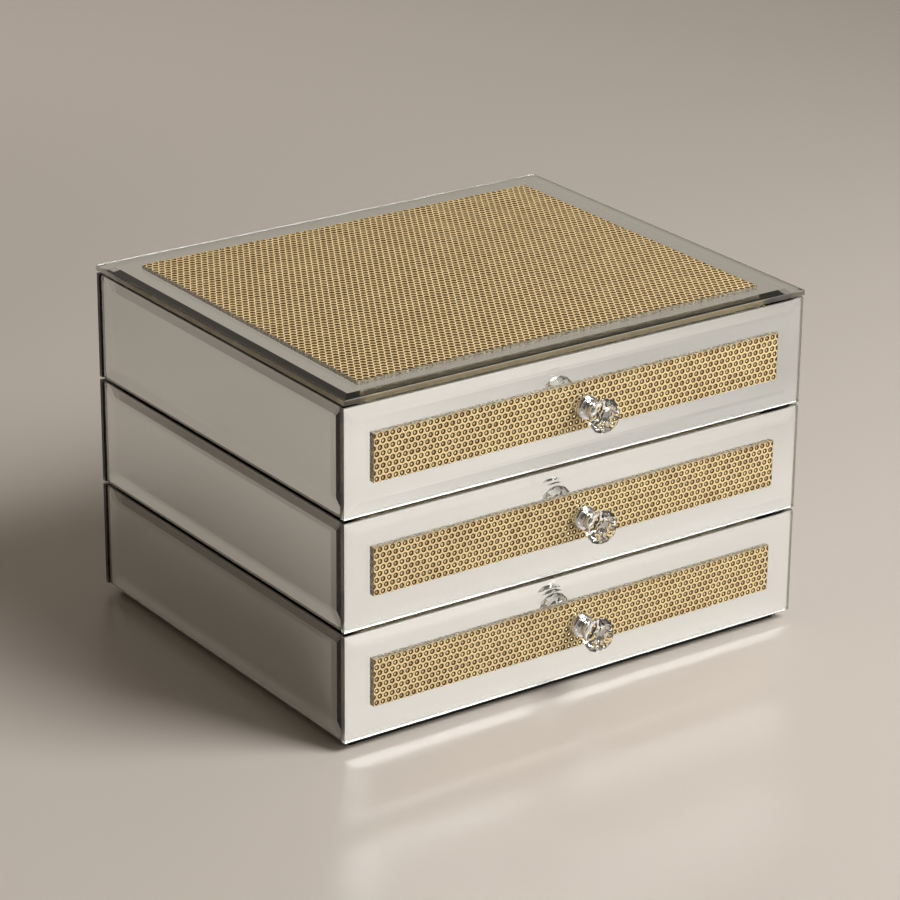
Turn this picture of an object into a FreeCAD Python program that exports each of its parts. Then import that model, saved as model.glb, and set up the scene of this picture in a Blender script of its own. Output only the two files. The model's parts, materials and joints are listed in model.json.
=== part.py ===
import FreeCAD, Part
import math
import os
import re

import Sketcher

# Mirrored jewellery box with three drawers.
# Millimetres. Z is up, the drawers open towards -Y, and the origin is the centre of the
# underside of the base felt, on the surface that the box stands on.

SIZES = {
    # Whole box
    "box_width": 260.0,
    "box_depth": 216.0,
    # Tiers of mirror panels
    "tier_height": 53.0,
    "tier_gap": 1.5,
    "top_gap": 1.2,
    # Base
    "plinth_inset": 5.0,
    "plinth_board": 3.0,
    "felt_thickness": 1.5,
    "felt_inset": 1.0,
    # Wall mirrors
    "glass_thickness": 3.0,
    "bevel_width": 7.0,
    "bevel_drop": 0.67,
    "corner_gap": 1.0,
    # Top mirror
    "top_glass_thickness": 3.5,
    "top_bevel_width": 5.0,
    "top_bevel_drop": 1.0,
    # Honeycomb inlays
    "inlay_thickness": 0.8,
    "strip_height": 23.4,
    "strip_end_margin": 15.5,
    "field_side_margin": 17.0,
    "field_front_margin": 15.0,
    # Carcass boards
    "side_board": 5.0,
    "back_board": 5.0,
    "top_board": 5.0,
    "bottom_board": 4.0,
    "shelf_board": 3.0,
    "dado_depth": 2.0,
    # Drawer boxes
    "drawer_side_gap": 0.8,
    "drawer_slip": 0.3,
    "drawer_top_gap": 1.0,
    "drawer_stop_gap": 0.5,
    "front_board": 5.0,
    "drawer_wall": 5.0,
    "wall_chamfer": 0.8,
    "drawer_floor": 2.5,
    "floor_lift": 2.0,
    "floor_groove": 2.0,
    "velvet_thickness": 2.0,
    "velvet_gap": 0.3,
    "velvet_chamfer": 0.7,
    # Knobs
    "crystal_diameter": 16.0,
    "crown_height": 4.4,
    "pavilion_height": 6.2,
    "girdle_band": 1.4,
    "table_diameter": 9.2,
    "foot_diameter": 7.2,
    "drum_diameter": 12.4,
    "drum_front_diameter": 11.2,
    "drum_length": 4.6,
    "neck_diameter": 6.0,
    "neck_length": 3.6,
    "cup_diameter": 8.4,
    "cup_height": 1.4,
    "rim_chamfer": 0.8,
    # Knob screws
    "screw_diameter": 3.0,
    "screw_reach": 4.0,
    "screw_clearance": 0.3,
    "thread_clearance": 0.1,
    "screw_head_diameter": 6.5,
    "screw_head_height": 1.8,
    "screw_head_chamfer": 0.6,
    "screw_slot_width": 0.8,
    "screw_slot_depth": 0.9,
}

# A crystal has one row of facets round its girdle and two more towards each end. The rows lean
# from the crystal's axis by these angles, in degrees.
FACETS_PER_ROW = 10
CROWN_LEAN = 38.0
STAR_LEAN = 58.0
PAVILION_LEAN = 35.0
FOOT_LEAN = 50.0

TIERS = ["bottom", "middle", "top"]

# How pieces are turned, as yaw, pitch and roll in degrees. A mirror is drawn lying on its back,
# and is stood up with its face outwards.
FACING_FRONT = (0, 0, 0)
FACING_SIDE = (-90, 0, 0)
FACING_BACK = (180, 0, 0)
UPRIGHT_FRONT = (0, 0, 90)
UPRIGHT_RIGHT = (90, 0, 90)
UPRIGHT_BACK = (180, 0, 90)
UPRIGHT_LEFT = (-90, 0, 90)

# Edges within this distance of a wanted radius and height are the wanted ones
MATCH = 0.001

doc = FreeCAD.newDocument("jewellery_box")
sheet = doc.addObject("Spreadsheet::Sheet", "Sizes")
for row, (size_name, size_value) in enumerate(SIZES.items(), start=1):
    sheet.set(f"A{row}", size_name)
    sheet.set(f"B{row}", str(size_value))
    sheet.setAlias(f"B{row}", size_name)
doc.recompute()

# Levels and places that several pieces share, as formulas of the sizes
PLINTH_TOP = "(plinth_board + felt_thickness)"
HALF_WIDTH_OF_BOARDS = "(box_width / 2 - glass_thickness)"
HALF_OPENING = "(box_width / 2 - glass_thickness - side_board)"
FRONT_FACE = "(-box_depth / 2)"
FRONT_GLASS_BACK = "(-box_depth / 2 + glass_thickness)"
CARCASS_FRONT = "(-box_depth / 2 + glass_thickness + corner_gap)"
CARCASS_BACK = "(box_depth / 2 - glass_thickness)"
BACK_BOARD_FRONT = "(box_depth / 2 - glass_thickness - back_board)"
FLOOR_TOP = f"({PLINTH_TOP} + bottom_board)"
TOP_BOARD_TOP = f"({PLINTH_TOP} + 3 * tier_height + 2 * tier_gap + top_gap)"
TOP_BOARD_UNDERSIDE = f"({TOP_BOARD_TOP} - top_board)"
SIDE_BOARD_HEIGHT = f"({TOP_BOARD_UNDERSIDE} - {FLOOR_TOP})"
DRAWER_HALF_WIDTH = f"({HALF_OPENING} - drawer_side_gap)"
DRAWER_FRONT = f"({FRONT_GLASS_BACK} + front_board)"
DRAWER_BACK = f"({BACK_BOARD_FRONT} - drawer_stop_gap)"
DRAWER_LENGTH = f"({DRAWER_BACK} - {DRAWER_FRONT})"
DRAWER_FLOOR_TOP = "(floor_lift + drawer_floor)"
KNOB_BASE_HEIGHT = "(drum_length + neck_length + cup_height)"


def tier_bottom(tier):
    """Lower edge of the mirrors of a tier."""
    return f"({PLINTH_TOP} + {TIERS.index(tier)} * (tier_height + tier_gap))"


def mirror_middle(tier):
    """Middle of the mirrors of a tier, where a drawer's strip and knob are."""
    return f"({tier_bottom(tier)} + tier_height / 2)"


def shelf_underside(tier):
    """Underside of the shelf that carries the drawer of an upper tier."""
    return f"({tier_bottom(tier)} - tier_gap / 2 - shelf_board / 2)"


def bay_floor(tier):
    """Top of the board that a drawer slides on."""
    if tier == "bottom":
        return FLOOR_TOP
    return f"({shelf_underside(tier)} + shelf_board)"


def bay_ceiling(tier):
    """Underside of the board above a drawer."""
    if tier == "top":
        return TOP_BOARD_UNDERSIDE
    return shelf_underside(TIERS[TIERS.index(tier) + 1])


def drawer_bottom(tier):
    """Underside of a drawer box, just clear of the board that it slides on."""
    return f"({bay_floor(tier)} + drawer_slip)"


# The three drawer boxes are alike, so the lowest of the three bays sets their height
BAY_HEIGHT = "min(" + "; ".join(f"{bay_ceiling(t)} - {bay_floor(t)}" for t in TIERS) + ")"
DRAWER_HEIGHT = f"({BAY_HEIGHT} - drawer_slip - drawer_top_gap)"


def bind(target, property_path, formula):
    """Ties a property to a formula of the named sizes."""
    named = re.sub(
        r"[a-z][a-z_]+",
        lambda word: "Sizes." + word[0] if word[0] in SIZES else word[0],
        formula,
    )
    target.setExpression(property_path, named)


def new_body(label):
    """Starts the body of one piece."""
    body = doc.addObject("PartDesign::Body", label)
    body.Label = label
    return body


def place(body, x="0", y="0", z="0", turn=FACING_FRONT):
    """Puts a piece in the box, turned and then moved."""
    body.Placement.Rotation = FreeCAD.Rotation(*turn)
    for axis, formula in zip("xyz", (x, y, z)):
        bind(body, f"Placement.Base.{axis}", formula)


def origin_feature(body, role):
    """A plane or axis of the body's own origin."""
    for feature in body.Origin.OriginFeatures:
        if feature.Role == role:
            return feature
    raise ValueError(f"{body.Label} has no {role}")


def attach(feature, body, plane):
    """Seats a sketch or primitive on a plane of the body's own origin."""
    feature.AttachmentSupport = [(origin_feature(body, plane), "")]
    feature.MapMode = "FlatFace"
    return feature


def new_sketch(body, plane):
    """Starts a sketch on a plane of the body."""
    return attach(body.newObject("Sketcher::SketchObject", "Sketch"), body, plane)


def shift(feature, x="0", y="0", z="0"):
    """Moves an attached feature by formulas."""
    for axis, formula in zip("xyz", (x, y, z)):
        bind(feature, f"AttachmentOffset.Base.{axis}", formula)


def outline(sketch, corners):
    """Draws a closed outline through corners given as pairs of formulas."""
    count = len(corners)
    around = [2 * math.pi * index / count for index in range(count)]
    points = [FreeCAD.Vector(math.cos(angle), math.sin(angle), 0) for angle in around]
    for index in range(count):
        line = Part.LineSegment(points[index], points[(index + 1) % count])
        sketch.addGeometry(line, False)
    for index in range(count):
        joined = Sketcher.Constraint("Coincident", index, 2, (index + 1) % count, 1)
        sketch.addConstraint(joined)
    for index, corner in enumerate(corners):
        for kind, axis, formula in zip(("DistanceX", "DistanceY"), (-2, -1), corner):
            if formula == "0":
                sketch.addConstraint(Sketcher.Constraint("PointOnObject", index, 1, axis))
            else:
                tie = Sketcher.Constraint(kind, -1, 1, index, 1, 1.0)
                number = sketch.addConstraint(tie)
                bind(sketch, f"Constraints[{number}]", formula)


def rectangle(sketch, width, height):
    """Draws a rectangle about the sketch's origin."""
    half_width = f"(({width}) / 2)"
    half_height = f"(({height}) / 2)"
    outline(
        sketch,
        [
            (f"-{half_width}", f"-{half_height}"),
            (half_width, f"-{half_height}"),
            (half_width, half_height),
            (f"-{half_width}", half_height),
        ],
    )


def pad(body, sketch, length, both_ways=False):
    """Extrudes a sketch along its normal, or half each way."""
    feature = body.newObject("PartDesign::Pad", "Pad")
    feature.Profile = sketch
    feature.Midplane = both_ways
    bind(feature, "Length", length)
    sketch.Visibility = False


def board(label, width, length, thickness):
    """A flat board, centred in X and Y, that rises from Z = 0."""
    body = new_body(label)
    sketch = new_sketch(body, "XY_Plane")
    rectangle(sketch, width, length)
    pad(body, sketch, thickness)
    return body


def milled_strip(label, profile, length):
    """A strip of one section, drawn in X and Z and extruded half each way along Y."""
    body = new_body(label)
    sketch = new_sketch(body, "XZ_Plane")
    outline(sketch, profile)
    pad(body, sketch, length, both_ways=True)
    return body


def block(body, kind, name, width, height, depth, bottom="0"):
    """Adds or cuts a block that is centred on the body's origin and starts at a given Z."""
    feature = attach(body.newObject(f"PartDesign::{kind}Box", name), body, "XY_Plane")
    for size_property, formula in zip(("Length", "Width", "Height"), (width, height, depth)):
        bind(feature, size_property, formula)
    shift(feature, f"-({width}) / 2", f"-({height}) / 2", bottom)


def drill(body, diameter, depth):
    """Bores a round hole at the body's origin, up from Z = 0."""
    bore = attach(body.newObject("PartDesign::SubtractiveCylinder", "Bore"), body, "XY_Plane")
    bind(bore, "Radius", f"({diameter}) / 2")
    bind(bore, "Height", depth)


def bevelled_slab(label, width, height, thickness, bevel, drop):
    """A slab with mitred bevels: back at Z = 0, bevelled face at Z = thickness."""
    body = new_body(label)
    edge = f"({thickness} - {drop})"
    block(body, "Additive", "Slab", width, height, edge)
    # The wedge is rolled, so that its own Y axis, in which it narrows, is the slab's thickness
    crown = attach(body.newObject("PartDesign::AdditiveWedge", "Crown"), body, "XY_Plane")
    crown.AttachmentOffset.Rotation = FreeCAD.Rotation(0, 0, 90)
    shift(crown, f"-({width}) / 2", f"({height}) / 2", edge)
    for size_property, formula in {
        "Xmin": "0",
        "Xmax": width,
        "Ymin": "0",
        "Ymax": drop,
        "Zmin": "0",
        "Zmax": height,
        "X2min": bevel,
        "X2max": f"{width} - {bevel}",
        "Z2min": bevel,
        "Z2max": f"{height} - {bevel}",
    }.items():
        bind(crown, size_property, formula)
    return body


def wall_mirror(label, width):
    """A bevelled mirror panel of one tier's height."""
    sizes = ("tier_height", "glass_thickness", "bevel_width", "bevel_drop")
    return bevelled_slab(label, width, *sizes)


def sink_inlay(body, width, height, thickness):
    """Cuts the shallow seat of a honeycomb inlay into a mirror's face."""
    seat_floor = f"{thickness} - inlay_thickness"
    block(body, "Subtractive", "InlaySeat", width, height, "inlay_thickness", seat_floor)


def turned_piece(label, profile):
    """A piece turned about Z from a half section drawn in X and Z."""
    body = new_body(label)
    sketch = new_sketch(body, "XZ_Plane")
    outline(sketch, profile)
    turning = body.newObject("PartDesign::Revolution", "Turning")
    turning.Profile = sketch
    turning.ReferenceAxis = (sketch, ["V_Axis"])
    turning.Angle = 360.0
    sketch.Visibility = False
    return body


def ease_rim(body, width, rim_radius, rim_height):
    """Chamfers the circular edge that has a given radius and height."""
    doc.recompute()
    solid = body.Tip
    rims = []
    for number, edge in enumerate(solid.Shape.Edges, start=1):
        if isinstance(edge.Curve, Part.Circle):
            miss = abs(edge.Curve.Radius - rim_radius) + abs(edge.Curve.Center.z - rim_height)
            if miss < MATCH:
                rims.append(f"Edge{number}")
    chamfer = body.newObject("PartDesign::Chamfer", "EasedRim")
    chamfer.Base = (solid, rims)
    bind(chamfer, "Size", width)


# The base: a board that is set in from the mirrors, on a felt sheet

STANDING_WIDTH = "(box_width - 2 * plinth_inset)"
STANDING_DEPTH = "(box_depth - 2 * plinth_inset)"


def base():
    """The plinth and the felt under it."""
    felt_width = f"{STANDING_WIDTH} - 2 * felt_inset"
    felt_depth = f"{STANDING_DEPTH} - 2 * felt_inset"
    place(board("base_felt", felt_width, felt_depth, "felt_thickness"))
    plinth = board("plinth_board", STANDING_WIDTH, STANDING_DEPTH, "plinth_board")
    place(plinth, z="felt_thickness")


# The carcass: boards that carry the mirrors outside and the drawers inside

BOARD_WIDTH = f"(2 * {HALF_WIDTH_OF_BOARDS})"
BOARD_DEPTH = f"({CARCASS_BACK} - {CARCASS_FRONT})"
BOARD_MIDDLE = f"(({CARCASS_BACK} + {CARCASS_FRONT}) / 2)"
BAY_DEPTH = f"({BACK_BOARD_FRONT} - {CARCASS_FRONT})"
BAY_MIDDLE = f"(({BACK_BOARD_FRONT} + {CARCASS_FRONT}) / 2)"


def side_board(label, outer_face, turn):
    """A side board with a dado for each shelf."""
    profile = [("0", "0"), ("side_board", "0")]
    for tier in TIERS[1:]:
        dado_bottom = f"({shelf_underside(tier)} - {FLOOR_TOP})"
        dado_top = f"({dado_bottom} + shelf_board)"
        profile += [
            ("side_board", dado_bottom),
            ("side_board - dado_depth", dado_bottom),
            ("side_board - dado_depth", dado_top),
            ("side_board", dado_top),
        ]
    profile += [("side_board", SIDE_BOARD_HEIGHT), ("0", SIDE_BOARD_HEIGHT)]
    body = milled_strip(label, profile, BAY_DEPTH)
    place(body, x=outer_face, y=BAY_MIDDLE, z=FLOOR_TOP, turn=turn)


def carcass():
    """The case without its mirrors."""
    bottom = board("bottom_board", BOARD_WIDTH, BOARD_DEPTH, "bottom_board")
    place(bottom, y=BOARD_MIDDLE, z=PLINTH_TOP)
    top = board("top_board", BOARD_WIDTH, BOARD_DEPTH, "top_board")
    place(top, y=BOARD_MIDDLE, z=TOP_BOARD_UNDERSIDE)
    back = board("back_board", BOARD_WIDTH, "back_board", SIDE_BOARD_HEIGHT)
    place(back, y=f"{CARCASS_BACK} - back_board / 2", z=FLOOR_TOP)
    side_board("left_side_board", f"-{HALF_WIDTH_OF_BOARDS}", FACING_FRONT)
    side_board("right_side_board", HALF_WIDTH_OF_BOARDS, FACING_BACK)
    shelf_width = f"2 * {HALF_OPENING} + 2 * dado_depth"
    for tier, label in (("middle", "lower_shelf"), ("top", "upper_shelf")):
        shelf = board(label, shelf_width, BAY_DEPTH, "shelf_board")
        place(shelf, y=BAY_MIDDLE, z=shelf_underside(tier))


# The mirrors of the case: one on each side and on the back of each tier, and the top

FIELD_WIDTH = "(box_width - 2 * field_side_margin)"
FIELD_DEPTH = "(box_depth - 2 * field_front_margin)"
SIDE_MIRROR_LENGTH = "(box_depth - 2 * (glass_thickness + corner_gap))"


def wall_mirrors(tier):
    """The side and back mirrors of a tier."""
    middle = mirror_middle(tier)
    left = wall_mirror(f"{tier}_left_mirror", SIDE_MIRROR_LENGTH)
    place(left, x=f"-{HALF_WIDTH_OF_BOARDS}", z=middle, turn=UPRIGHT_LEFT)
    right = wall_mirror(f"{tier}_right_mirror", SIDE_MIRROR_LENGTH)
    place(right, x=HALF_WIDTH_OF_BOARDS, z=middle, turn=UPRIGHT_RIGHT)
    back = wall_mirror(f"{tier}_back_mirror", "box_width")
    place(back, y=CARCASS_BACK, z=middle, turn=UPRIGHT_BACK)


def top():
    """The top mirror, with its honeycomb field let into it."""
    sizes = ("box_width", "box_depth", "top_glass_thickness", "top_bevel_width", "top_bevel_drop")
    mirror = bevelled_slab("top_mirror", *sizes)
    sink_inlay(mirror, FIELD_WIDTH, FIELD_DEPTH, "top_glass_thickness")
    place(mirror, z=TOP_BOARD_TOP)
    field = board("top_honeycomb_field", FIELD_WIDTH, FIELD_DEPTH, "inlay_thickness")
    place(field, z=f"{TOP_BOARD_TOP} + top_glass_thickness - inlay_thickness")


# The drawers

STRIP_WIDTH = "(box_width - 2 * strip_end_margin)"
SCREW_HOLE = "(screw_diameter + 2 * screw_clearance)"
FRONT_DEPTH = "(glass_thickness + front_board)"
DRAWER_MIDDLE = f"(({DRAWER_FRONT} + {DRAWER_BACK}) / 2)"


def drawer_front(tier):
    """The bevelled front mirror, its honeycomb strip and the board behind them."""
    middle = mirror_middle(tier)
    mirror = wall_mirror(f"{tier}_drawer_front_mirror", "box_width")
    sink_inlay(mirror, STRIP_WIDTH, "strip_height", "glass_thickness")
    drill(mirror, SCREW_HOLE, FRONT_DEPTH)
    place(mirror, y=FRONT_GLASS_BACK, z=middle, turn=UPRIGHT_FRONT)

    strip = board(
        f"{tier}_drawer_honeycomb_strip", STRIP_WIDTH, "strip_height", "inlay_thickness"
    )
    drill(strip, SCREW_HOLE, FRONT_DEPTH)
    place(strip, y=f"{FRONT_FACE} + inlay_thickness", z=middle, turn=UPRIGHT_FRONT)

    # The board is drawn about the knob's axis, which isn't the middle of its height
    backing = new_body(f"{tier}_drawer_front_board")
    sketch = new_sketch(backing, "XY_Plane")
    below_axis = f"({middle} - {drawer_bottom(tier)})"
    above_axis = f"({DRAWER_HEIGHT} - {below_axis})"
    outline(
        sketch,
        [
            (f"-{DRAWER_HALF_WIDTH}", f"-{below_axis}"),
            (DRAWER_HALF_WIDTH, f"-{below_axis}"),
            (DRAWER_HALF_WIDTH, above_axis),
            (f"-{DRAWER_HALF_WIDTH}", above_axis),
        ],
    )
    pad(backing, sketch, "front_board")
    drill(backing, SCREW_HOLE, FRONT_DEPTH)
    place(backing, y=DRAWER_FRONT, z=middle, turn=UPRIGHT_FRONT)


def drawer_side_wall(label, tier, outer_face, turn):
    """A side wall, grooved for the floor, with eased top edges. Its outer face is at X = 0."""
    groove = "drawer_wall - floor_groove"
    profile = [
        ("0", "0"),
        ("drawer_wall", "0"),
        ("drawer_wall", "floor_lift"),
        (groove, "floor_lift"),
        (groove, DRAWER_FLOOR_TOP),
        ("drawer_wall", DRAWER_FLOOR_TOP),
        ("drawer_wall", f"{DRAWER_HEIGHT} - wall_chamfer"),
        ("drawer_wall - wall_chamfer", DRAWER_HEIGHT),
        ("wall_chamfer", DRAWER_HEIGHT),
        ("0", f"{DRAWER_HEIGHT} - wall_chamfer"),
    ]
    wall = milled_strip(label, profile, DRAWER_LENGTH)
    place(wall, x=outer_face, y=DRAWER_MIDDLE, z=drawer_bottom(tier), turn=turn)


def drawer_rear_wall(tier):
    """The rear wall, which stands on the floor between the side walls."""
    height = f"({DRAWER_HEIGHT} - {DRAWER_FLOOR_TOP})"
    profile = [
        ("0", "0"),
        ("drawer_wall", "0"),
        ("drawer_wall", f"{height} - wall_chamfer"),
        ("drawer_wall - wall_chamfer", height),
        ("wall_chamfer", height),
        ("0", f"{height} - wall_chamfer"),
    ]
    width = f"2 * ({DRAWER_HALF_WIDTH} - drawer_wall)"
    wall = milled_strip(f"{tier}_drawer_rear_wall", profile, width)
    floor_top = f"{drawer_bottom(tier)} + {DRAWER_FLOOR_TOP}"
    place(wall, y=DRAWER_BACK, z=floor_top, turn=FACING_SIDE)


def drawer_floor(tier):
    """The floor in the grooves of the side walls, and the velvet pad that lies on it."""
    width = f"2 * ({DRAWER_HALF_WIDTH} - drawer_wall + floor_groove)"
    floor = board(f"{tier}_drawer_floor", width, DRAWER_LENGTH, "drawer_floor")
    place(floor, y=DRAWER_MIDDLE, z=f"{drawer_bottom(tier)} + floor_lift")

    pad_width = f"(2 * ({DRAWER_HALF_WIDTH} - drawer_wall - velvet_gap))"
    pad_length = f"({DRAWER_LENGTH} - drawer_wall - 2 * velvet_gap)"
    sizes = (pad_width, pad_length, "velvet_thickness", "velvet_chamfer", "velvet_chamfer")
    velvet = bevelled_slab(f"{tier}_drawer_velvet_pad", *sizes)
    floor_top = f"{drawer_bottom(tier)} + {DRAWER_FLOOR_TOP}"
    place(velvet, y=f"{DRAWER_MIDDLE} - drawer_wall / 2", z=floor_top)


# The knobs, drawn about their own axis with Z pointing away from the drawer


def knob_base(tier):
    """The turned metal base: a drum on the mirror, then a waisted neck and a cup for the crystal."""
    neck_start = "drum_length"
    neck_end = "drum_length + neck_length"
    flare = "(cup_diameter - neck_diameter) / 2"
    body = turned_piece(
        f"{tier}_knob_base",
        [
            ("0", "0"),
            ("drum_diameter / 2", "0"),
            ("drum_front_diameter / 2", neck_start),
            ("cup_diameter / 2", neck_start),
            ("neck_diameter / 2", f"{neck_start} + {flare}"),
            ("neck_diameter / 2", f"{neck_end} - {flare}"),
            ("cup_diameter / 2", neck_end),
            ("cup_diameter / 2", KNOB_BASE_HEIGHT),
            ("0", KNOB_BASE_HEIGHT),
        ],
    )
    ease_rim(body, "rim_chamfer", SIZES["drum_front_diameter"] / 2, SIZES["drum_length"])
    drill(body, "screw_diameter + 2 * thread_clearance", "screw_reach + thread_clearance")
    place(body, y=FRONT_FACE, z=mirror_middle(tier), turn=UPRIGHT_FRONT)


def knob_crystal(tier):
    """The cut crystal: a crown with a flat table in front, and a pavilion down to a flat foot."""
    body = new_body(f"{tier}_knob_crystal")
    half_facet = math.pi / FACETS_PER_ROW
    blank = new_sketch(body, "XY_Plane")
    shift(blank, z="-pavilion_height")
    corner_reach = f"crystal_diameter / 2 / {math.cos(half_facet)}"
    corner_angles = [half_facet * (2 * number + 1) for number in range(FACETS_PER_ROW)]
    outline(
        blank,
        [
            (f"{corner_reach} * {math.cos(angle)}", f"{corner_reach} * {math.sin(angle)}")
            for angle in corner_angles
        ],
    )
    pad(body, blank, "crown_height + pavilion_height")
    girdle = ("crystal_diameter / 2", "girdle_band / 2")
    cut_facet_rows(
        body,
        math.degrees(half_facet),
        facet_line(*girdle, CROWN_LEAN, "crown_height"),
        facet_line(*girdle, PAVILION_LEAN, "pavilion_height"),
    )
    cut_facet_rows(
        body,
        0,
        facet_line("table_diameter / 2", "crown_height", STAR_LEAN, "crown_height"),
        facet_line("foot_diameter / 2", "pavilion_height", FOOT_LEAN, "pavilion_height"),
    )
    outward = f"{FRONT_FACE} - {KNOB_BASE_HEIGHT} - pavilion_height"
    place(body, y=outward, z=mirror_middle(tier), turn=UPRIGHT_FRONT)


def facet_line(radius, height, lean, end):
    """Where a facet through a given point is level with the girdle and past the crystal's end."""
    slope = math.tan(math.radians(lean))
    past = f"({end} + girdle_band)"
    return (f"{radius} + {height} * {slope}", "0"), (f"{radius} - ({past} - {height}) * {slope}", past)


def cut_facet_rows(body, turn, crown, pavilion):
    """Cuts a row of facets into the crown and one into the pavilion, both turned alike."""
    sketch = new_sketch(body, "XZ_Plane")
    sketch.AttachmentOffset.Rotation = FreeCAD.Rotation(FreeCAD.Vector(0, 1, 0), turn)
    outside = "2 * crystal_diameter"
    (crown_start, _), (crown_end, crown_past) = crown
    (pavilion_start, _), (pavilion_end, pavilion_past) = pavilion
    outline(
        sketch,
        [
            (crown_start, "0"),
            (crown_end, crown_past),
            (outside, crown_past),
            (outside, f"-{pavilion_past}"),
            (pavilion_end, f"-{pavilion_past}"),
            (pavilion_start, "0"),
        ],
    )
    facets = body.newObject("PartDesign::Pocket", "Facet")
    facets.Profile = sketch
    facets.Midplane = True
    bind(facets, "Length", "2 * crystal_diameter")
    sketch.Visibility = False
    row = body.newObject("PartDesign::PolarPattern", "FacetRow")
    row.Originals = [facets]
    row.Axis = (origin_feature(body, "Z_Axis"), [""])
    row.Angle = 360
    row.Occurrences = FACETS_PER_ROW
    body.Tip = row


def knob_screw(tier):
    """The slotted screw, put in from inside the drawer. Its head rests at Z = 0."""
    length = f"{FRONT_DEPTH} + screw_reach"
    body = turned_piece(
        f"{tier}_knob_screw",
        [
            ("0", "-screw_head_height"),
            ("screw_head_diameter / 2", "-screw_head_height"),
            ("screw_head_diameter / 2", "0"),
            ("screw_diameter / 2", "0"),
            ("screw_diameter / 2", length),
            ("0", length),
        ],
    )
    head_radius = SIZES["screw_head_diameter"] / 2
    ease_rim(body, "screw_head_chamfer", head_radius, -SIZES["screw_head_height"])
    slot = ("screw_head_diameter", "screw_slot_width", "screw_slot_depth", "-screw_head_height")
    block(body, "Subtractive", "Slot", *slot)
    place(body, y=DRAWER_FRONT, z=mirror_middle(tier), turn=UPRIGHT_FRONT)


def drawer(tier):
    """One drawer with its front and knob."""
    drawer_front(tier)
    outer = DRAWER_HALF_WIDTH
    drawer_side_wall(f"{tier}_drawer_left_wall", tier, f"-{outer}", FACING_FRONT)
    drawer_side_wall(f"{tier}_drawer_right_wall", tier, outer, FACING_BACK)
    drawer_rear_wall(tier)
    drawer_floor(tier)
    knob_base(tier)
    knob_crystal(tier)
    knob_screw(tier)


def check_and_export():
    """Writes each piece to parts/, once all of them are sound."""
    doc.recompute()
    for item in doc.Objects:
        if "Invalid" in item.State or "Error" in item.State:
            raise RuntimeError(f"{item.Label} failed: {item.State}")
    pieces = [item for item in doc.Objects if item.TypeId == "PartDesign::Body"]
    for piece in pieces:
        if piece.Shape.isNull() or not piece.Shape.isValid() or len(piece.Shape.Solids) != 1:
            raise RuntimeError(f"{piece.Label} is not one sound solid")
    os.makedirs("parts", exist_ok=True)
    for piece in pieces:
        piece.Shape.exportStep(f"parts/{piece.Label}.step")
    print(f"{len(pieces)} pieces")


base()
carcass()
top()
for tier_name in TIERS:
    wall_mirrors(tier_name)
    drawer(tier_name)
check_and_export()
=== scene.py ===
import json
import math
import random

import bmesh
import bpy
from bpy.props import FloatProperty, FloatVectorProperty, IntProperty, PointerProperty
from mathutils import Matrix, Vector


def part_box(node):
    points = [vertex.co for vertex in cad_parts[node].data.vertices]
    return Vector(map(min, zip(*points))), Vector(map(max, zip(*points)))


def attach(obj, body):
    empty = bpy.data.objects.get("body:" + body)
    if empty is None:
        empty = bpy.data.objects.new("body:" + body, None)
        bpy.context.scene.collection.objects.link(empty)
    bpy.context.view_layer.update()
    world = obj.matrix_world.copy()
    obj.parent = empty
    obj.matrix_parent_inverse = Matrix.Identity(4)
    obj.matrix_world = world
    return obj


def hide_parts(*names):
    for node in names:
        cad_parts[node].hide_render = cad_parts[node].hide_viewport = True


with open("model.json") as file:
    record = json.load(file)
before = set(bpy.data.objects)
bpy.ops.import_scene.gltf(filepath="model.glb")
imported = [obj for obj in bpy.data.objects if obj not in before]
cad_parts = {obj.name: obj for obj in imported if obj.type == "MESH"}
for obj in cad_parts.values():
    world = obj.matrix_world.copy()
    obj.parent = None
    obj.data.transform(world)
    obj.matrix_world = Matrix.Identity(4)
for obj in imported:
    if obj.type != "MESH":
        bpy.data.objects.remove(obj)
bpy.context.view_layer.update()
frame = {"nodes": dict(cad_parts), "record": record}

bl_info = {
    "name": "Mirrored jewellery box",
    "version": (1, 0, 0),
    "blender": (4, 5, 0),
    "location": "3D View > Sidebar > Jewellery box",
    "description": "Dresses a mirrored jewellery box in glass, gold honeycomb, crystal and velvet",
    "category": "Object",
}

MM = 0.001
# Points closer than this are one, and gaps of this size don't show
HAIR = 0.01 * MM
# Tolerance of the cuts and seams of the inlays and turned pieces, and of the facets of the crystals
CUT = 0.001 * MM
FACET_CUT = 0.0001 * MM

FLOAT_GLASS_IOR = 1.52
CRYSTAL_IOR = 1.6

# Edges that turn less than this are smooth, in each kind of piece
SMOOTH_RELIEF = math.radians(45)
SMOOTH_TURNING = math.radians(35)
SMOOTH_CUSHION = math.radians(50)

TIERS = ("bottom", "middle", "top")
BODY_OF = {
    node: body
    for body, nodes in frame["record"]["behaviour"]["bodies"].items()
    for node in nodes
}
FRONT = Vector((0, -1, 0))
BACK = Vector((0, 1, 0))
LEFT = Vector((-1, 0, 0))
RIGHT = Vector((1, 0, 0))
UP = Vector((0, 0, 1))

# Sockets of the Mix node, when it mixes colours
MIX_FACTOR, MIX_FIRST, MIX_SECOND, MIX_COLOUR = 0, 6, 7, 2


def linear(hex_colour):
    """Linear RGB of an sRGB hex colour."""
    channels = (int(hex_colour[start : start + 2], 16) / 255 for start in (1, 3, 5))
    return tuple(c / 12.92 if c <= 0.04045 else ((c + 0.055) / 1.055) ** 2.4 for c in channels)


def length(name, millimetres, description):
    """A length property, given in millimetres."""
    return FloatProperty(
        name=name, description=description, default=millimetres * MM, min=0, precision=5, unit="LENGTH"
    )


def angle(name, degrees, description):
    """An angle property, given in degrees."""
    return FloatProperty(
        name=name, description=description, default=math.radians(degrees), subtype="ANGLE"
    )


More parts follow.
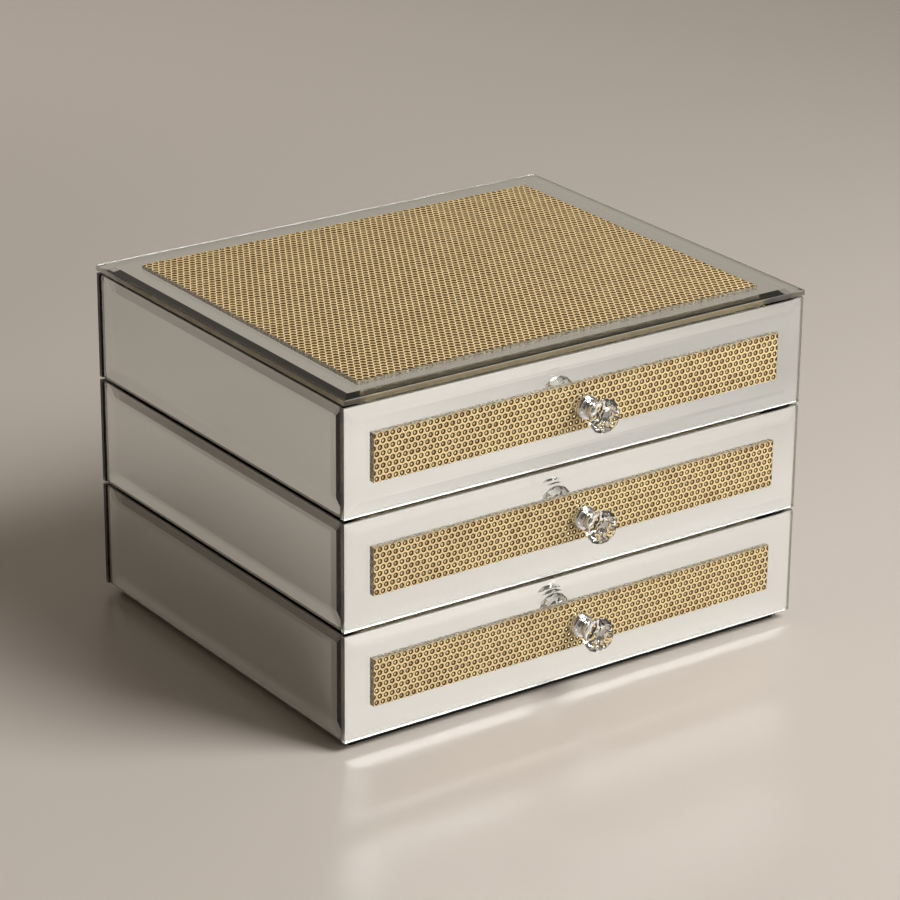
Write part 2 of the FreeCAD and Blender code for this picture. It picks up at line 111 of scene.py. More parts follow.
def amount(name, value, description):
    """A plain number property."""
    return FloatProperty(name=name, description=description, default=value)


def colour(name, hex_colour, description):
    """A colour property, given as an sRGB hex colour."""
    return FloatVectorProperty(
        name=name, description=description, default=linear(hex_colour), size=3, min=0, max=1,
        subtype="COLOR",
    )


class GlassSettings(bpy.types.PropertyGroup):
    """Bevels and coatings of the mirrors"""

    bevel_width: length("Wall bevel", 7.0, "Width of the bevel on the wall mirrors")
    bevel_drop: length("Wall bevel drop", 0.67, "How much thinner a wall mirror is at its edge")
    top_bevel_width: length("Top bevel", 5.0, "Width of the bevel on the top mirror")
    top_bevel_drop: length("Top bevel drop", 1.0, "How much thinner the top mirror is at its edge")
    arris: length("Arris", 0.3, "Width of the eased edge round each pane")
    silver_lift: length("Silver lift", 0.07, "Height of the silvering above the board it is glued to")
    paint_thickness: length("Backing paint", 0.04, "Thickness of the paint behind the silvering")
    seat_floor: length("Seat floor", 0.05, "Glass left between the silvering and the seat of an inlay")
    glass_colour: colour("Glass", "#fafcfa", "Tint of the float glass")
    silver_colour: colour("Silver", "#f4f4f4", "Colour of the silvering")
    edge_colour: colour("Ground edge", "#fbf2df", "Tint of the ground edges")
    paint_colour: colour("Backing paint colour", "#55585a", "Colour of the paint behind the silvering")
    seat_colour: colour("Seat lacquer", "#f0d8a8", "Gold on the walls of the seats of the inlays")
    seat_shade: colour("Seat shade", "#241a0e", "Darkest gold on the walls of the seats")


class HoneycombSettings(bpy.types.PropertyGroup):
    """Cells of the honeycomb inlays"""

    pitch: length("Cell pitch", 3.37, "Distance from one cell to the next along a row")
    strip_ring: length("Ring of a strip", 2.6, "Outer diameter of the dark rings in the drawer fronts")
    field_ring: length("Ring of the field", 3.0, "Outer diameter of the dark rings in the top field")
    groove_inset: length("Groove inset", 0.42, "Distance from the rim of a ring to its lowest line")
    bead_diameter: length("Bead", 1.2, "Diameter of the bead in the middle of a cell")
    groove_depth: length("Groove depth", 0.5, "Depth of the ring under the walls")
    wall_drop: length("Wall drop", 0.13, "How far a wall falls from its ridge to the ring")
    bead_drop: length("Bead drop", 0.33, "Depth of the foot of a bead under the walls")
    bead_height: length("Bead height", 0.3, "Height of a bead's peak over its foot")
    bead_wander: length("Bead wander", 0.15, "Most that a bead's peak is off its middle")
    clearance: length("Clearance", 0.06, "Gap between an inlay and its seat")
    wall_colour: colour("Walls", "#ffe6b4", "Champagne gold on the raised walls")
    # The rings' dark brown is painted shade: the grooves are painted dark rather than darkened by the
    # light
    ring_painted_shade_colour: colour("Rings", "#603800", "Dark gold in the grooves")
    bead_colour: colour("Beads", "#ffe8c0", "Champagne gold on the beads")
    strip_segments: IntProperty(
        name="Ring segments of a strip", description="Sides of a ring in the drawer fronts", default=12
    )
    field_segments: IntProperty(
        name="Ring segments of the field", description="Sides of a ring in the large top field", default=6
    )


class KnobSettings(bpy.types.PropertyGroup):
    """Turned bases and cut crystals of the knobs"""

    drum_front: length("Drum front", 11.2, "Diameter of the drum where it meets the neck")
    drum_length: length("Drum length", 4.6, "Length of the drum")
    drum_rounding: length("Drum rounding", 1.2, "Rounding of the drum's front edge")
    neck: length("Neck", 6.0, "Diameter of the neck at its waist")
    neck_length: length("Neck length", 3.6, "Length of the neck")
    neck_rounding: length("Neck rounding", 1.0, "Rounding of the neck on both sides of its waist")
    cup: length("Cup", 8.4, "Diameter of the cup that holds the crystal")
    dish: length("Dish", 0.2, "Depth of the flat dish in the cup")
    rounding: length("Rounding", 0.25, "Rounding of the other turned edges")
    crown_height: length("Crown height", 4.4, "Height of the crystal above its girdle")
    girdle_band: length("Girdle", 1.4, "Height of the upright facets round the girdle")
    table: length("Table", 9.2, "Width of the crystal's flat front")
    foot: length("Foot", 7.2, "Width of the crystal's flat back")
    crown_lean: angle("Crown lean", 38.0, "Lean of the large facets of the crown")
    star_lean: angle("Star lean", 58.0, "Lean of the small facets round the table")
    pavilion_lean: angle("Pavilion lean", 35.0, "Lean of the large facets behind the girdle")
    foot_lean: angle("Foot lean", 50.0, "Lean of the small facets round the foot")
    facet_easing: length("Facet easing", 0.06, "Width of the polished edges between facets")
    facets: IntProperty(name="Facets", description="Facets in each row of the crystal", default=10)
    chrome_colour: colour("Chrome", "#d9dadb", "Colour of the chrome plate")
    crystal_colour: colour("Crystal", "#fdfefe", "Tint of the cut crystal")
    screw_colour: colour("Screw", "#b9b7b0", "Colour of the zinc plate")


class LiningSettings(bpy.types.PropertyGroup):
    """Boards, velvet and felt"""

    board_colour: colour("Board", "#0e0d0c", "Matt black paint on the fibreboard")
    velvet_colour: colour("Velvet", "#131214", "Ground colour of the velvet")
    nap_colour: colour("Velvet nap", "#6b666e", "Sheen of the velvet's pile")
    felt_colour: colour("Felt", "#121211", "Colour of the felt")
    pad_crown: length("Pad crown", 1.1, "How much higher a pad is in its middle than at its edge")
    pad_edge: length("Pad edge", 6.0, "Width over which a pad's edge is drawn down")
    felt_easing: length("Felt easing", 0.3, "Width of the eased edges of the felt")


class StageSettings(bpy.types.PropertyGroup):
    """Camera, lamps and backdrop"""

    camera_place: FloatVectorProperty(
        name="Camera place", description="Where the camera stands", size=3,
        default=(-0.90265, -1.28463, 0.71897), subtype="TRANSLATION",
    )
    azimuth: angle("Azimuth", -35.16, "Compass angle of the camera, 0 looking along +Y")
    elevation: angle("Elevation", 22.09, "Angle of the camera above the horizon")
    roll: angle("Roll", 0.505, "Tilt of the camera about its line of sight")
    lens: amount("Lens", 140.04, "Focal length on a 36 mm sensor")
    floor_reach: length("Floor", 8000.0, "Distance from the box to each edge of the paper")
    floor_colour: colour("Floor", "#d3cac1", "Colour of the paper that the box stands on")
    # The far floor colours are painted light on the left and painted shade on the right, not the paper's
    # own colour
    far_painted_light_colour: colour("Far floor", "#faefe5", "Colour of the paper far behind the box on the left")
    far_right_painted_shade_colour: colour("Far right floor", "#c9c1b8", "Colour of the paper far behind on the right")
    far_bearing: angle("Far bearing", 35.0, "Compass angle from +Y along which the paper grows far")
    far_start: length("Far start", 400.0, "Distance along it at which the far colours begin")
    far_end: length("Far end", 1150.0, "Distance along it at which they are full")
    side_bearing: angle("Side bearing", 125.0, "Compass angle from +Y of the far floor's right")
    side_reach: length("Side reach", 350.0, "Distance along it to the full left and right colours")
    # A painted reflection of shade: only mirrors and glass see this dark colour, and there is no table
    # object
    reflected_shade_colour: colour("Table", "#3a3530", "Colour of the table that the mirrors show past the paper")
    reflected_shade_bearing: angle("Table bearing", 131.3, "Compass angle from +Y along which the paper ends")
    reflected_shade_start: length("Table start", 340.0, "Distance along it at which the table begins to show")
    reflected_shade_end: length("Table end", 500.0, "Distance along it at which it shows most")
    reflected_shade_share: amount("Table share", 0.45, "How much of the paper the table hides there")
    sky_colour: colour("Surroundings", "#aea69b", "Colour of the studio beyond the paper")
    ceiling_colour: colour("Ceiling", "#5e584f", "Colour of the dim studio above and behind the camera")
    dim_from: amount("Dim from", 0.5, "Height of a unit heading at which the studio starts to be dim")
    dim_full: amount("Dim full", 0.8, "Height of a unit heading from which it is as dim as the ceiling")
    dim_before: amount("Dim before", 0.4, "Reach of a unit heading towards -Y at which it is as dim")
    fill_colour: colour("Fill", "#6b645a", "Colour of the dim light from all round")
    key_azimuth: angle("Key azimuth", 34.6, "Compass angle of the key lamp, 0 in front of the box")
    key_elevation: angle("Key elevation", 48.0, "Angle of the key lamp above the horizon")
    key_distance: length("Key distance", 1980.0, "Distance of the key lamp from the box")
    key_size: length("Key size", 1000.0, "Width and height of the key lamp")
    key_power: amount("Key power", 38.0, "Power of the key lamp in watts")
    rim_azimuth: angle("Rim azimuth", 33.0, "Compass angle of the low rim lamp")
    rim_elevation: angle("Rim elevation", 11.0, "Angle of the low rim lamp above the horizon")
    rim_distance: length("Rim distance", 2200.0, "Distance of the low rim lamp from the box")
    rim_width: length("Rim width", 1200.0, "Width of the low rim lamp")
    rim_height: length("Rim height", 450.0, "Height of the low rim lamp")
    rim_power: amount("Rim power", 4.4, "Power of the rim lamp in watts")


SETTINGS = {
    "jewellery_glass": GlassSettings,
    "jewellery_honeycomb": HoneycombSettings,
    "jewellery_knobs": KnobSettings,
    "jewellery_lining": LiningSettings,
    "jewellery_stage": StageSettings,
}


# Helpers that every piece uses


def box_frame(node, outward):
    """Width, height and thickness of a node as seen from outside, and the matrix that seats a
    piece there that is drawn about the middle of its own back, with Z outwards."""
    low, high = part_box(node)
    up = Vector((0, 1, 0)) if outward.z else UP
    across = up.cross(outward)
    spans = [abs((high - low).dot(axis)) for axis in (across, up, outward)]
    back = (low + high) / 2 - outward * spans[2] / 2
    turn = Matrix((across, up, outward)).transposed().to_4x4()
    return spans, Matrix.Translation(back) @ turn


def finished(work, name, materials, place=None, smooth_below=None):
    """Turns a bmesh into an object at the origin, with its place in its mesh."""
    if place is not None:
        bmesh.ops.transform(work, matrix=place, verts=work.verts)
    mesh = bpy.data.meshes.new(name)
    work.to_mesh(mesh)
    work.free()
    for material in materials:
        mesh.materials.append(material)
    if smooth_below is not None:
        mesh.shade_smooth()
        mesh.set_sharp_from_angle(angle=smooth_below)
    piece = bpy.data.objects.new(name, mesh)
    bpy.context.scene.collection.objects.link(piece)
    return piece


def stand_in(piece, node):
    """Lets a piece take the place of a node of the part."""
    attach(piece, BODY_OF[node])
    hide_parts(node)
    return piece


def coat_nodes(nodes, recipe):
    """Gives a finish to nodes whose shape is already right."""
    for node in nodes:
        mesh_object = frame["nodes"][node]
        mesh_object.data.materials.clear()
        mesh_object.data.materials.append(material_of(recipe))


def add_block(work, width, height, thickness, bottom):
    """Adds a block centred on Z that stands on a level, and returns its upper face."""
    middle = Matrix.Translation((0, 0, bottom + thickness / 2))
    spans = Matrix.Diagonal((width, height, thickness, 1))
    made = bmesh.ops.create_cube(work, size=1.0, matrix=middle @ spans)
    faces = {face for vert in made["verts"] for face in vert.link_faces}
    return max(faces, key=lambda face: face.calc_center_median().z)


def step_face(work, face, width, height, rise):
    """Insets a level face to a centred rectangle of a given size, and raises it."""
    any_width = 0.5 * MM
    bmesh.ops.inset_region(work, faces=[face], thickness=any_width)
    verts = list(face.verts)
    reach_x = max(abs(vert.co.x) for vert in verts)
    reach_y = max(abs(vert.co.y) for vert in verts)
    bmesh.ops.scale(work, verts=verts, vec=(width / 2 / reach_x, height / 2 / reach_y, 1))
    bmesh.ops.translate(work, verts=verts, vec=(0, 0, rise))


def ease(work, edges, width, steps):
    """Rounds edges over a width, in a number of steps."""
    bmesh.ops.bevel(
        work, geom=edges, offset=width, offset_type="OFFSET", affect="EDGES", segments=steps,
        profile=0.5, material=-1,
    )


def cut_off(work, outward, distance, tolerance):
    """Cuts away what lies outside a plane, and returns the edges of the cut."""
    cut = bmesh.ops.bisect_plane(
        work, geom=work.verts[:] + work.edges[:] + work.faces[:], dist=tolerance,
        plane_co=outward * distance, plane_no=outward, clear_outer=True,
    )
    return [item for item in cut["geom_cut"] if isinstance(item, bmesh.types.BMEdge)]


def close_below(work, level):
    """Lets the open rim of a surface straight down to a level, and closes it with one flat face."""
    rim = [edge for edge in work.edges if edge.is_boundary]
    for item in bmesh.ops.extrude_edge_only(work, edges=rim)["geom"]:
        if isinstance(item, bmesh.types.BMVert):
            item.co.z = level
    bmesh.ops.edgenet_fill(work, edges=[edge for edge in work.edges if edge.is_boundary])
    bmesh.ops.recalc_face_normals(work, faces=work.faces)


# Materials


def material_of(recipe):
    """The material that a recipe makes, made once and then shared."""
    made = bpy.data.materials.get(recipe.__name__)
    if made is None:
        made = bpy.data.materials.new(recipe.__name__)
        made.use_nodes = True
        made.node_tree.nodes.clear()
        shader = recipe(made)
        add_node(made, "ShaderNodeOutputMaterial", {"Surface": shader.outputs[0]})
    return made


def add_node(owner, kind, inputs=None, **settings):
    """Adds a node with its settings, and fills its inputs with values or links."""
    node = owner.node_tree.nodes.new(kind)
    for name, value in settings.items():
        setattr(node, name, value)
    for name, value in (inputs or {}).items():
        socket = node.inputs[name]
        if isinstance(value, bpy.types.NodeSocket):
            owner.node_tree.links.new(value, socket)
        else:
            socket.default_value = value
    return node


def rgba(colour_value, factor=1.0):
    """A colour with full alpha, lighter or darker by a factor."""
    return (*(min(1.0, channel * factor) for channel in colour_value), 1.0)


def noise(material, scale, detail):
    """Noise that lies still on an object, from 0 to 1."""
    place = add_node(material, "ShaderNodeTexCoord").outputs["Object"]
    texture = add_node(material, "ShaderNodeTexNoise", {"Vector": place, "Scale": scale, "Detail": detail})
    return texture.outputs[0]


def ranged(owner, value, start, end, low=0.0, high=1.0, **options):
    """A value taken from one range to another, and held at its ends."""
    ends = {"Value": value, "From Min": start, "From Max": end, "To Min": low, "To Max": high}
    return add_node(owner, "ShaderNodeMapRange", ends, **options).outputs[0]


def mixed(owner, factor, first, second):
    """Two colours mixed by a factor."""
    inputs = {MIX_FACTOR: factor, MIX_FIRST: first, MIX_SECOND: second}
    return add_node(owner, "ShaderNodeMix", inputs, data_type="RGBA").outputs[MIX_COLOUR]


def calculated(owner, operation, first, second):
    """The result of an operation on two numbers."""
    return add_node(owner, "ShaderNodeMath", {0: first, 1: second}, operation=operation).outputs[0]


def relief(material, height, strength, depth):
    """The normals of a surface that is raised and sunk by a height."""
    inputs = {"Height": height, "Strength": strength, "Distance": depth}
    return add_node(material, "ShaderNodeBump", inputs).outputs[0]


def surface(material, inputs):
    """The shader of a surface."""
    return add_node(material, "ShaderNodeBsdfPrincipled", inputs)


def polished_float_glass(material):
    """Float glass with a ground and polished bevel: clear, and hardly marked by handling."""
    tint = bpy.context.scene.jewellery_glass.glass_colour
    smears = ranged(material, noise(material, scale=22.0, detail=3.0), 0.55, 0.8, high=0.015)
    return surface(
        material,
        {
            "Base Color": rgba(tint), "IOR": FLOAT_GLASS_IOR, "Transmission Weight": 1.0,
            "Roughness": smears,
        },
    )


def silvering(material):
    """Silver laid on the back of the glass: a bright mirror with the faintest clouds."""
    silver = bpy.context.scene.jewellery_glass.silver_colour
    clouds = noise(material, scale=9.0, detail=2.0)
    tone = mixed(material, clouds, rgba(silver), rgba(silver, 0.97))
    return surface(material, {"Base Color": tone, "Metallic": 1.0, "Roughness": 0.0})


def backing_paint(material):
    """Grey lacquer that seals the silvering: matt, with faint brush clouds."""
    paint = bpy.context.scene.jewellery_glass.paint_colour
    clouds = noise(material, scale=60.0, detail=4.0)
    tone = mixed(material, clouds, rgba(paint), rgba(paint, 0.8))
    return surface(material, {"Base Color": tone, "Roughness": 0.55})


def ground_glass(material):
    """The ground edges of a pane: satin glass that glows with the light inside the pane."""
    tint = bpy.context.scene.jewellery_glass.edge_colour
    wheel_marks = noise(material, scale=900.0, detail=2.0)
    return surface(
        material,
        {
            "Base Color": rgba(tint), "IOR": FLOAT_GLASS_IOR, "Transmission Weight": 1.0,
            "Roughness": ranged(material, wheel_marks, 0.0, 1.0, low=0.35, high=0.55),
        },
    )


def seat_lacquer(material):
    """Speckled gold lacquer on the walls of a seat: through the glass they look like the inlay."""
    settings = bpy.context.scene.jewellery_glass
    speckles = ranged(material, noise(material, scale=700.0, detail=2.0), 0.37, 0.6)
    tone = mixed(material, speckles, rgba(settings.seat_shade), rgba(settings.seat_colour))
    return surface(material, {"Base Color": tone, "Roughness": 0.5})


def gilt(material, base, roughness, metallic, specular, contrast):
    """Gold lacquer on moulded relief, each cell a little lighter or darker than the next."""
    tone = add_node(material, "ShaderNodeAttribute", attribute_name="cell_tone").outputs["Fac"]
    gold = mixed(material, tone, rgba(base, 1 - contrast), rgba(base, 1 + contrast / 2))
    return surface(
        material,
        {"Base Color": gold, "Metallic": metallic, "Roughness": roughness, "Specular IOR Level": specular},
    )


def gilt_walls(material):
    """Champagne gold lacquer on the raised walls of the honeycomb: creamy and satin."""
    base = bpy.context.scene.jewellery_honeycomb.wall_colour
    return gilt(material, base, roughness=0.4, metallic=0.0, specular=0.2, contrast=0.12)


def gilt_grooves_painted_shade(material):
    """Gold lacquer in the grooves, painted deep brown as painted shade in the recesses, and without a
    shine.
    """
    base = bpy.context.scene.jewellery_honeycomb.ring_painted_shade_colour
    return gilt(material, base, roughness=1.0, metallic=0.0, specular=0.0, contrast=0.3)


def gilt_beads(material):
    """Champagne gold on the beads, which catch the light one by one."""
    base = bpy.context.scene.jewellery_honeycomb.bead_colour
    return gilt(material, base, roughness=0.14, metallic=0.85, specular=0.5, contrast=0.4)


def chrome_plate(material):
    """Chrome over polished zinc: a hard, neutral mirror with hairline polishing marks."""
    chrome = bpy.context.scene.jewellery_knobs.chrome_colour
    marks = noise(material, scale=900.0, detail=2.0)
    polish = ranged(material, marks, 0.0, 1.0, low=0.03, high=0.09)
    return surface(material, {"Base Color": rgba(chrome), "Metallic": 1.0, "Roughness": polish})


def polished_crystal(material):
    """Cut crystal with polished facets: clear, and brighter than window glass."""
    tint = bpy.context.scene.jewellery_knobs.crystal_colour
    return surface(
        material,
        {
            "Base Color": rgba(tint), "Roughness": 0.0, "IOR": CRYSTAL_IOR,
            "Transmission Weight": 1.0,
        },
    )


def zinc_plate(material):
    """Bright zinc on a steel screw: pale grey, with a little bloom."""
    zinc = bpy.context.scene.jewellery_knobs.screw_colour
    clouds = noise(material, scale=500.0, detail=4.0)
    bloom = ranged(material, clouds, 0.0, 1.0, low=0.25, high=0.5)
    return surface(material, {"Base Color": rgba(zinc), "Metallic": 1.0, "Roughness": bloom})


def painted_fibreboard(material):
    """Fibreboard painted matt black: a fine, even tooth, a little open on the cut edges."""
    black = bpy.context.scene.jewellery_lining.board_colour
    tooth = noise(material, scale=1600.0, detail=3.0)
    return surface(
        material,
        {
            "Base Color": mixed(material, tooth, rgba(black), rgba(black, 1.8)), "Roughness": 0.7,
            "Normal": relief(material, tooth, strength=0.3, depth=0.05 * MM),
        },
    )


def short_velvet(material):
    """Short-pile velvet: nearly black head on, with paler blotches in its colour as painted sheen where
    the pile leans.
    """
    settings = bpy.context.scene.jewellery_lining
    black = settings.velvet_colour
    # Paler blotches mixed into the colour: painted sheen of the leaning pile
    painted_sheen_blotches = ranged(material, noise(material, scale=28.0, detail=2.0), 0.35, 0.65)
    pile = noise(material, scale=2200.0, detail=2.0)
    return surface(
        material,
        {
            "Base Color": mixed(material, painted_sheen_blotches, rgba(black), rgba(black, 2.4)), "Roughness": 0.95,
            "Normal": relief(material, pile, strength=0.5, depth=0.15 * MM),
            "Specular IOR Level": 0.2, "Sheen Weight": 0.8, "Sheen Roughness": 0.4,
            "Sheen Tint": rgba(settings.nap_colour),
        },
    )


def pressed_felt(material):
    """Pressed wool felt: dense, matt and mottled by its fibres."""
    black = bpy.context.scene.jewellery_lining.felt_colour
    fibres = noise(material, scale=700.0, detail=5.0)
    return surface(
        material,
        {
            "Base Color": mixed(material, fibres, rgba(black), rgba(black, 2.2)), "Roughness": 1.0,
            "Normal": relief(material, fibres, strength=0.6, depth=0.2 * MM),
            "Sheen Weight": 0.2, "Specular IOR Level": 0.1,
        },
    )


# Mirrors

GLASS, SILVER, PAINT, GROUND, SEAT = range(5)
PANE_RECIPES = (polished_float_glass, silvering, backing_paint, ground_glass, seat_lacquer)

# Faces of a pane that lean more than this from its plane are its ground edges
EDGE_LEAN = math.cos(math.radians(30))


def mirror_pane(name, node, outward, bevel, drop, seat=None):
    """A bevelled pane: clear glass with ground edges, silver on its back and paint behind that."""
    settings = bpy.context.scene.jewellery_glass
    (width, height, thickness), place = box_frame(node, outward)
    work = bmesh.new()
    lift = settings.silver_lift
    front = add_block(work, width, height, thickness - drop - lift, lift)
    back = min(work.faces, key=lambda face: face.calc_center_median().z)
    back.material_index = SILVER
    rim = [edge for edge in work.edges if edge not in back.edges]
    step_face(work, front, width - 2 * bevel, height - 2 * bevel, drop)
    if seat is not None:
        seat_depth = thickness - lift - settings.seat_floor
        step_face(work, front, seat[0], seat[1], 0)
        step_face(work, front, seat[0], seat[1], -seat_depth)
        for face in {face for edge in front.edges for face in edge.link_faces}:
            face.material_index = SEAT
    ease(work, rim, settings.arris, steps=1)
    work.normal_update()
    for face in work.faces:
        # The upper edge of a wall lies in the dark gap under the next pane, and stays clear
        faces_up = (place.to_3x3() @ face.normal).z > EDGE_LEAN
        if face.material_index == GLASS and abs(face.normal.z) < EDGE_LEAN and not faces_up:
            face.material_index = GROUND
    paint = settings.paint_thickness
    shell = add_block(work, width - 2 * settings.arris, height - 2 * settings.arris, paint, HAIR)
    for face in {face for vert in shell.verts for face in vert.link_faces}:
        face.material_index = PAINT
    bmesh.ops.recalc_face_normals(work, faces=work.faces)
    finishes = [material_of(recipe) for recipe in PANE_RECIPES]
    return stand_in(finished(work, name, finishes, place), node)


class JEWELLERY_OT_wall_mirrors(bpy.types.Operator):
    """Makes the bevelled mirrors on the sides and the back"""

    bl_idname = "jewellery.wall_mirrors"
    bl_label = "Wall mirrors"

    def execute(self, context):
        settings = context.scene.jewellery_glass
        for tier in TIERS:
            for side, outward in (("left", LEFT), ("right", RIGHT), ("back", BACK)):
                node = f"{tier}_{side}_mirror"
                mirror_pane(f"{node}_pane", node, outward, settings.bevel_width, settings.bevel_drop)
        return {"FINISHED"}


def seat_size(node):
    """Width and height of an inlay, as seen from outside."""
    low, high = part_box(node)
    spans = sorted(high - low, reverse=True)
    return spans[0], spans[1]


class JEWELLERY_OT_top_mirror(bpy.types.Operator):
    """Makes the bevelled mirror on top"""

    bl_idname = "jewellery.top_mirror"
    bl_label = "Top mirror"

    def execute(self, context):
        settings = context.scene.jewellery_glass
        mirror_pane(
            "top_mirror_pane", "top_mirror", UP, settings.top_bevel_width, settings.top_bevel_drop,
            seat=seat_size("top_honeycomb_field"),
        )
        return {"FINISHED"}


class JEWELLERY_OT_drawer_mirrors(bpy.types.Operator):
    """Makes the bevelled mirrors of the drawer fronts"""

    bl_idname = "jewellery.drawer_mirrors"
    bl_label = "Drawer front mirrors"

    def execute(self, context):
        settings = context.scene.jewellery_glass
        for tier in TIERS:
            node = f"{tier}_drawer_front_mirror"
            mirror_pane(
                f"{node}_pane", node, FRONT, settings.bevel_width, settings.bevel_drop,
                seat=seat_size(f"{tier}_drawer_honeycomb_strip"),
            )
        return {"FINISHED"}


# Honeycomb inlays

WALL, GROOVE, BEAD = 0, 1, 2


def honeycomb_cell(work, ring, segments):
    """One six-sided cell about the origin: a flat wall, a round groove and a bead in it."""
    settings = bpy.context.scene.jewellery_honeycomb
    corner_reach = settings.pitch / math.sqrt(3)
    # Sides, radius and level of each ring
    rings = [
        (6, corner_reach, 0.0),
        (segments, ring / 2, -settings.wall_drop),
        (segments, ring / 2 - settings.groove_inset, -settings.groove_depth),
        (segments, settings.bead_diameter / 2, -settings.bead_drop),
    ]
    loops = []
    for sides, radius, level in rings:
        turn = Matrix.Translation((0, 0, level)) @ Matrix.Rotation(math.pi / 2, 4, "Z")
        made = bmesh.ops.create_circle(work, segments=sides, radius=radius, matrix=turn)
        loops.append(list({edge for vert in made["verts"] for edge in vert.link_edges}))
    for outer, inner, part in zip(loops, loops[1:], (WALL, GROOVE, GROOVE)):
        bridged = bmesh.ops.bridge_loops(work, edges=outer + inner)
        for face in bridged["faces"]:
            face.material_index = part
    cap = bmesh.ops.contextual_create(work, geom=loops[-1])
    bmesh.ops.recalc_face_normals(work, faces=work.faces)
    bead = bmesh.ops.poke(work, faces=cap["faces"], offset=settings.bead_height)
    for face in bead["faces"]:
        face.material_index = BEAD


def repeat(work, geom, count, step):
    """Copies geometry along a step until there are so many of it, and returns all of it."""
    everything = list(geom)
    for number in range(1, count):
        copy = bmesh.ops.duplicate(work, geom=geom)["geom"]
        verts = [item for item in copy if isinstance(item, bmesh.types.BMVert)]
        bmesh.ops.translate(work, verts=verts, vec=step * number)
        everything += copy
    return everything


def honeycomb_sheet(name, node, outward, ring, segments, seed):
    """A relief sheet of staggered cells, cut straight at its edges and closed at its back."""
    settings = bpy.context.scene.jewellery_honeycomb
    (width, height, thickness), place = box_frame(node, outward)
    width -= 2 * settings.clearance
    height -= 2 * settings.clearance
    pitch = settings.pitch
    rise = pitch * math.sqrt(3) / 2
    columns = math.ceil(width / pitch) + 2
    row_pairs = math.ceil(height / rise / 2) + 1

    work = bmesh.new()
    honeycomb_cell(work, ring, segments)
    cell = work.verts[:] + work.edges[:] + work.faces[:]
    row = repeat(work, cell, columns, Vector((pitch, 0, 0)))
    pair = repeat(work, row, 2, Vector((pitch / 2, rise, 0)))
    repeat(work, pair, row_pairs, Vector((0, 2 * rise, 0)))
    bmesh.ops.remove_doubles(work, verts=work.verts, dist=HAIR)

    # The first row is half a row above the lower edge, with a whole cell at each end
    whole_cells = round(width / pitch)
    start = Vector((-(whole_cells - 1) / 2 * pitch - pitch, -(round(height / rise) - 1) / 2 * rise, 0))
    bmesh.ops.translate(work, verts=work.verts, vec=start)

    draw = random.Random(seed)
    tones = {}
    tone_layer = work.faces.layers.float.new("cell_tone")
    for face in work.faces:
        centre = face.calc_center_median()
        row_number = round((centre.y - start.y) / rise)
        column_number = round((centre.x - start.x) / pitch - 0.5 * (row_number % 2))
        key = (row_number, column_number)
        if key not in tones:
            tones[key] = draw.random()
        face[tone_layer] = tones[key]
    wander = settings.bead_wander
    for vert in work.verts:
        if all(face.material_index == BEAD for face in vert.link_faces):
            # The peak of a bead: each stands a little off its middle, and catches the light its own way
            vert.co.x += draw.uniform(-wander, wander)
            vert.co.y += draw.uniform(-wander, wander)

    for side, reach in ((Vector((1, 0, 0)), width / 2), (Vector((0, 1, 0)), height / 2)):
        for outward_side in (side, -side):
            cut_off(work, outward_side, reach, CUT)
    close_below(work, -thickness + settings.clearance)
    bmesh.ops.translate(work, verts=work.verts, vec=(0, 0, thickness))
    coats = [material_of(recipe) for recipe in (gilt_walls, gilt_grooves_painted_shade, gilt_beads)]
    return stand_in(finished(work, name, coats, place, SMOOTH_RELIEF), node)


class JEWELLERY_OT_honeycomb_strips(bpy.types.Operator):
    """Makes the honeycomb strips of the drawer fronts"""

    bl_idname = "jewellery.honeycomb_strips"
    bl_label = "Honeycomb strips"

    def execute(self, context):
        settings = context.scene.jewellery_honeycomb
        for seed, tier in enumerate(TIERS, start=1):
            node = f"{tier}_drawer_honeycomb_strip"
            honeycomb_sheet(
                f"{node}_relief", node, FRONT, settings.strip_ring, settings.strip_segments, seed
            )
        return {"FINISHED"}


class JEWELLERY_OT_honeycomb_field(bpy.types.Operator):
    """Makes the large honeycomb field of the top"""

    bl_idname = "jewellery.honeycomb_field"
    bl_label = "Honeycomb field"

    def execute(self, context):
        settings = context.scene.jewellery_honeycomb
        node = "top_honeycomb_field"
        seed = 7
        honeycomb_sheet(f"{node}_relief", node, UP, settings.field_ring, settings.field_segments, seed)
        return {"FINISHED"}


# Knobs


def turned(profile, steps=72):
    """A closed solid of revolution about Z, from its half profile."""
    work = bmesh.new()
    verts = [work.verts.new((radius, 0, level)) for radius, level in profile]
    edges = [work.edges.new(pair) for pair in zip(verts, verts[1:])]
    bmesh.ops.spin(
        work, geom=verts + edges, cent=(0, 0, 0), axis=(0, 0, 1), angle=math.tau, steps=steps,
        use_merge=True,
    )
    bmesh.ops.remove_doubles(work, verts=work.verts, dist=CUT)
    bmesh.ops.recalc_face_normals(work, faces=work.faces)
    return work


def round_circle(work, radius, level, width, steps=5):
    """Rounds one circle of a turned piece, given by its radius and level."""
    circle = [
        edge for edge in work.edges
        if all(abs(v.co.z - level) < HAIR and abs(v.co.xy.length - radius) < HAIR for v in edge.verts)
    ]
    ease(work, circle, width, steps)


